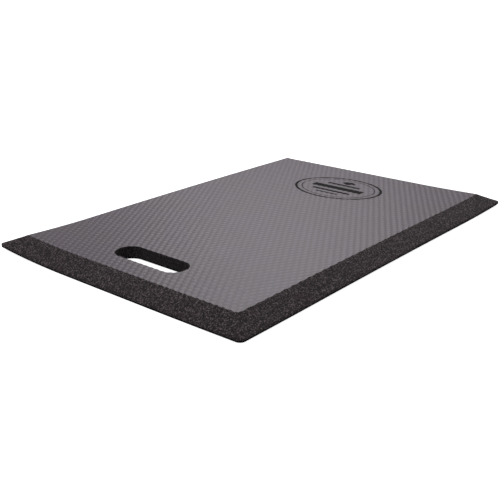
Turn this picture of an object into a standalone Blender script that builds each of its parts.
"""Foam kneeling pad with a hand slot, modelled in metres, +Z up.

The pad is three layers that are laminated into one board and then cut:
a non-slip base sheet, a thick closed-cell foam core and a thin embossed
top sheet. A knife bevel runs round all four sides through the core and the
top sheet, and one long slot for the hand goes through all three layers.

Origin: the centre of the underside. +X runs along the length, away from
the hand slot, +Y across the width and +Z up to the kneeling face.
"""
import math

import bmesh
import bpy

# Whole pad
LENGTH = 0.533
WIDTH = 0.368
THICKNESS = 0.015

# Layers, from the ground up
BASE_SHEET = 0.0018
TOP_SHEET = 0.0016
GLUE_GAP = 0.0003

# Edge: a short upright lip, then a flat bevel up to the kneeling face
LIP_HEIGHT = 0.003
BEVEL_RUN = 0.024
BEVEL_SLOPE = BEVEL_RUN / (THICKNESS - LIP_HEIGHT)
FOOT_CORNER_RADIUS = 0.006
FACE_CORNER_RADIUS = 0.002
CORNER_STEPS = 6

# Hand slot, parallel to one short side
SLOT_LENGTH = 0.102
SLOT_WIDTH = 0.033
SLOT_FROM_END = 0.0665
SLOT_X = SLOT_FROM_END - LENGTH / 2
SLOT_END_STEPS = 14
CUTTER_MARGIN = 0.004


def clear_scene():
    """Remove every object, so that the pad is alone in the file."""
    for old in list(bpy.data.objects):
        bpy.data.objects.remove(old, do_unlink=True)


def material(name, colour, roughness):
    """A plain non-metal finish."""
    made = bpy.data.materials.new(name)
    made.use_nodes = True
    shader = made.node_tree.nodes["Principled BSDF"]
    shader.inputs["Base Color"].default_value = (*colour, 1.0)
    shader.inputs["Roughness"].default_value = roughness
    shader.inputs["Metallic"].default_value = 0.0
    made.diffuse_color = (*colour, 1.0)
    return made


def arc(centre_x, centre_y, radius, start, sweep, steps):
    """Points along a circular arc, both ends included."""
    points = []
    for step in range(steps + 1):
        angle = start + sweep * step / steps
        points.append((centre_x + radius * math.cos(angle), centre_y + radius * math.sin(angle)))
    return points


def bevel_inset(height):
    """How far in from the foot outline the cut edge lies at a height."""
    return max(0.0, height - LIP_HEIGHT) * BEVEL_SLOPE


def pad_outline(height):
    """The pad's outline at a height: a rectangle whose corners get sharper upwards."""
    inset = bevel_inset(height)
    sharpening = inset / BEVEL_RUN
    radius = FOOT_CORNER_RADIUS + (FACE_CORNER_RADIUS - FOOT_CORNER_RADIUS) * sharpening
    half_x = LENGTH / 2 - inset - radius
    half_y = WIDTH / 2 - inset - radius
    quarter = math.pi / 2
    points = []
    for corner, (side_x, side_y) in enumerate(((1, 1), (-1, 1), (-1, -1), (1, -1))):
        points += arc(side_x * half_x, side_y * half_y, radius, corner * quarter, quarter, CORNER_STEPS)
    return points


def slot_outline():
    """A long round-ended slot across the pad."""
    radius = SLOT_WIDTH / 2
    reach = SLOT_LENGTH / 2 - radius
    far_end = arc(SLOT_X, reach, radius, 0.0, math.pi, SLOT_END_STEPS)
    near_end = arc(SLOT_X, -reach, radius, math.pi, math.pi, SLOT_END_STEPS)
    return far_end + near_end


def loft(name, sections):
    """A closed solid through outlines of equal point count, each given as (height, points)."""
    mesh = bmesh.new()
    loops = []
    for height, points in sections:
        verts = [mesh.verts.new((x, y, height)) for x, y in points]
        edges = [mesh.edges.new((verts[i - 1], verts[i])) for i in range(len(verts))]
        loops.append((verts, edges))
    for (_, lower), (_, upper) in zip(loops, loops[1:]):
        bmesh.ops.bridge_loops(mesh, edges=lower + upper)
    mesh.faces.new(loops[0][0])
    mesh.faces.new(loops[-1][0])
    bmesh.ops.recalc_face_normals(mesh, faces=mesh.faces)
    data = bpy.data.meshes.new(name)
    mesh.to_mesh(data)
    mesh.free()
    made = bpy.data.objects.new(name, data)
    bpy.context.scene.collection.objects.link(made)
    return made


def layer(name, heights, finish, slot_cutter):
    """One layer of the board, with its share of the bevel and the hand slot cut through it."""
    made = loft(name, [(height, pad_outline(height)) for height in heights])
    made.data.materials.append(finish)
    cut = made.modifiers.new("hand_slot", "BOOLEAN")
    cut.operation = "DIFFERENCE"
    cut.solver = "EXACT"
    cut.object = slot_cutter
    return made


def make_slot_cutter():
    """The punch that opens the hand slot, a guide that isn't part of the pad."""
    outline = slot_outline()
    cutter = loft("slot_punch", [(-CUTTER_MARGIN, outline), (THICKNESS + CUTTER_MARGIN, outline)])
    cutter.hide_render = True
    cutter.display_type = "WIRE"
    return cutter


def make_base_sheet(slot_cutter):
    """The black non-slip sheet that the pad lies on."""
    finish = material("base_black_rubber", (0.012, 0.012, 0.013), 0.7)
    return layer("base_sheet", (0.0, BASE_SHEET), finish, slot_cutter)


def make_foam_core(slot_cutter):
    """The thick charcoal foam, upright at its lip and bevelled above it."""
    finish = material("core_charcoal_foam", (0.036, 0.033, 0.034), 0.9)
    bottom = BASE_SHEET + GLUE_GAP
    top = THICKNESS - TOP_SHEET - GLUE_GAP
    return layer("foam_core", (bottom, LIP_HEIGHT, top), finish, slot_cutter)


def make_top_sheet(slot_cutter):
    """The grey embossed wear sheet, cut at the bevel's own slope."""
    finish = material("top_grey_embossed", (0.205, 0.187, 0.202), 0.6)
    return layer("top_sheet", (THICKNESS - TOP_SHEET, THICKNESS), finish, slot_cutter)


def main():
    clear_scene()
    slot_cutter = make_slot_cutter()
    make_base_sheet(slot_cutter)
    make_foam_core(slot_cutter)
    make_top_sheet(slot_cutter)


main()
